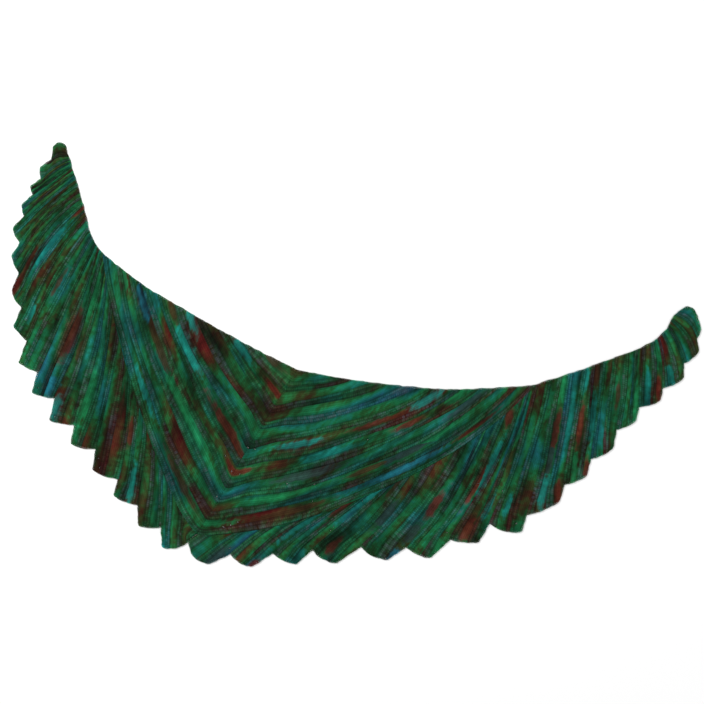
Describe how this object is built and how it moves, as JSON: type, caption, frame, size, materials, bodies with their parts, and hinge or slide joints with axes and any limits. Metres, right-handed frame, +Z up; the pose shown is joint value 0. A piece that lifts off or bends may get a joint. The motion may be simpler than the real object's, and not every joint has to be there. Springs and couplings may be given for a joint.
{
  "type": "knitted shawl",
  "caption": "Crescent-shaped knitted shawl laid flat in one layer, with fanned welts, a V-shaped middle panel and a toothed lower edge.",
  "frame": {"origin": "on the resting surface, under the middle of the shawl's bounding box", "axes": "+X from the left wing's tip side to the right wing's tip, +Y towards the neck edge, +Z up from the surface that it lies on"},
  "size_m": [1.443, 0.887, 0.004],
  "materials": {
    "wool": "matt variegated wool, greens, teals, blues and dark reds"
  },
  "bodies": {
    "root": {"left_wing": "wool", "centre_left": "wool", "centre_right": "wool", "right_wing": "wool"}
  },
  "joints": []
}
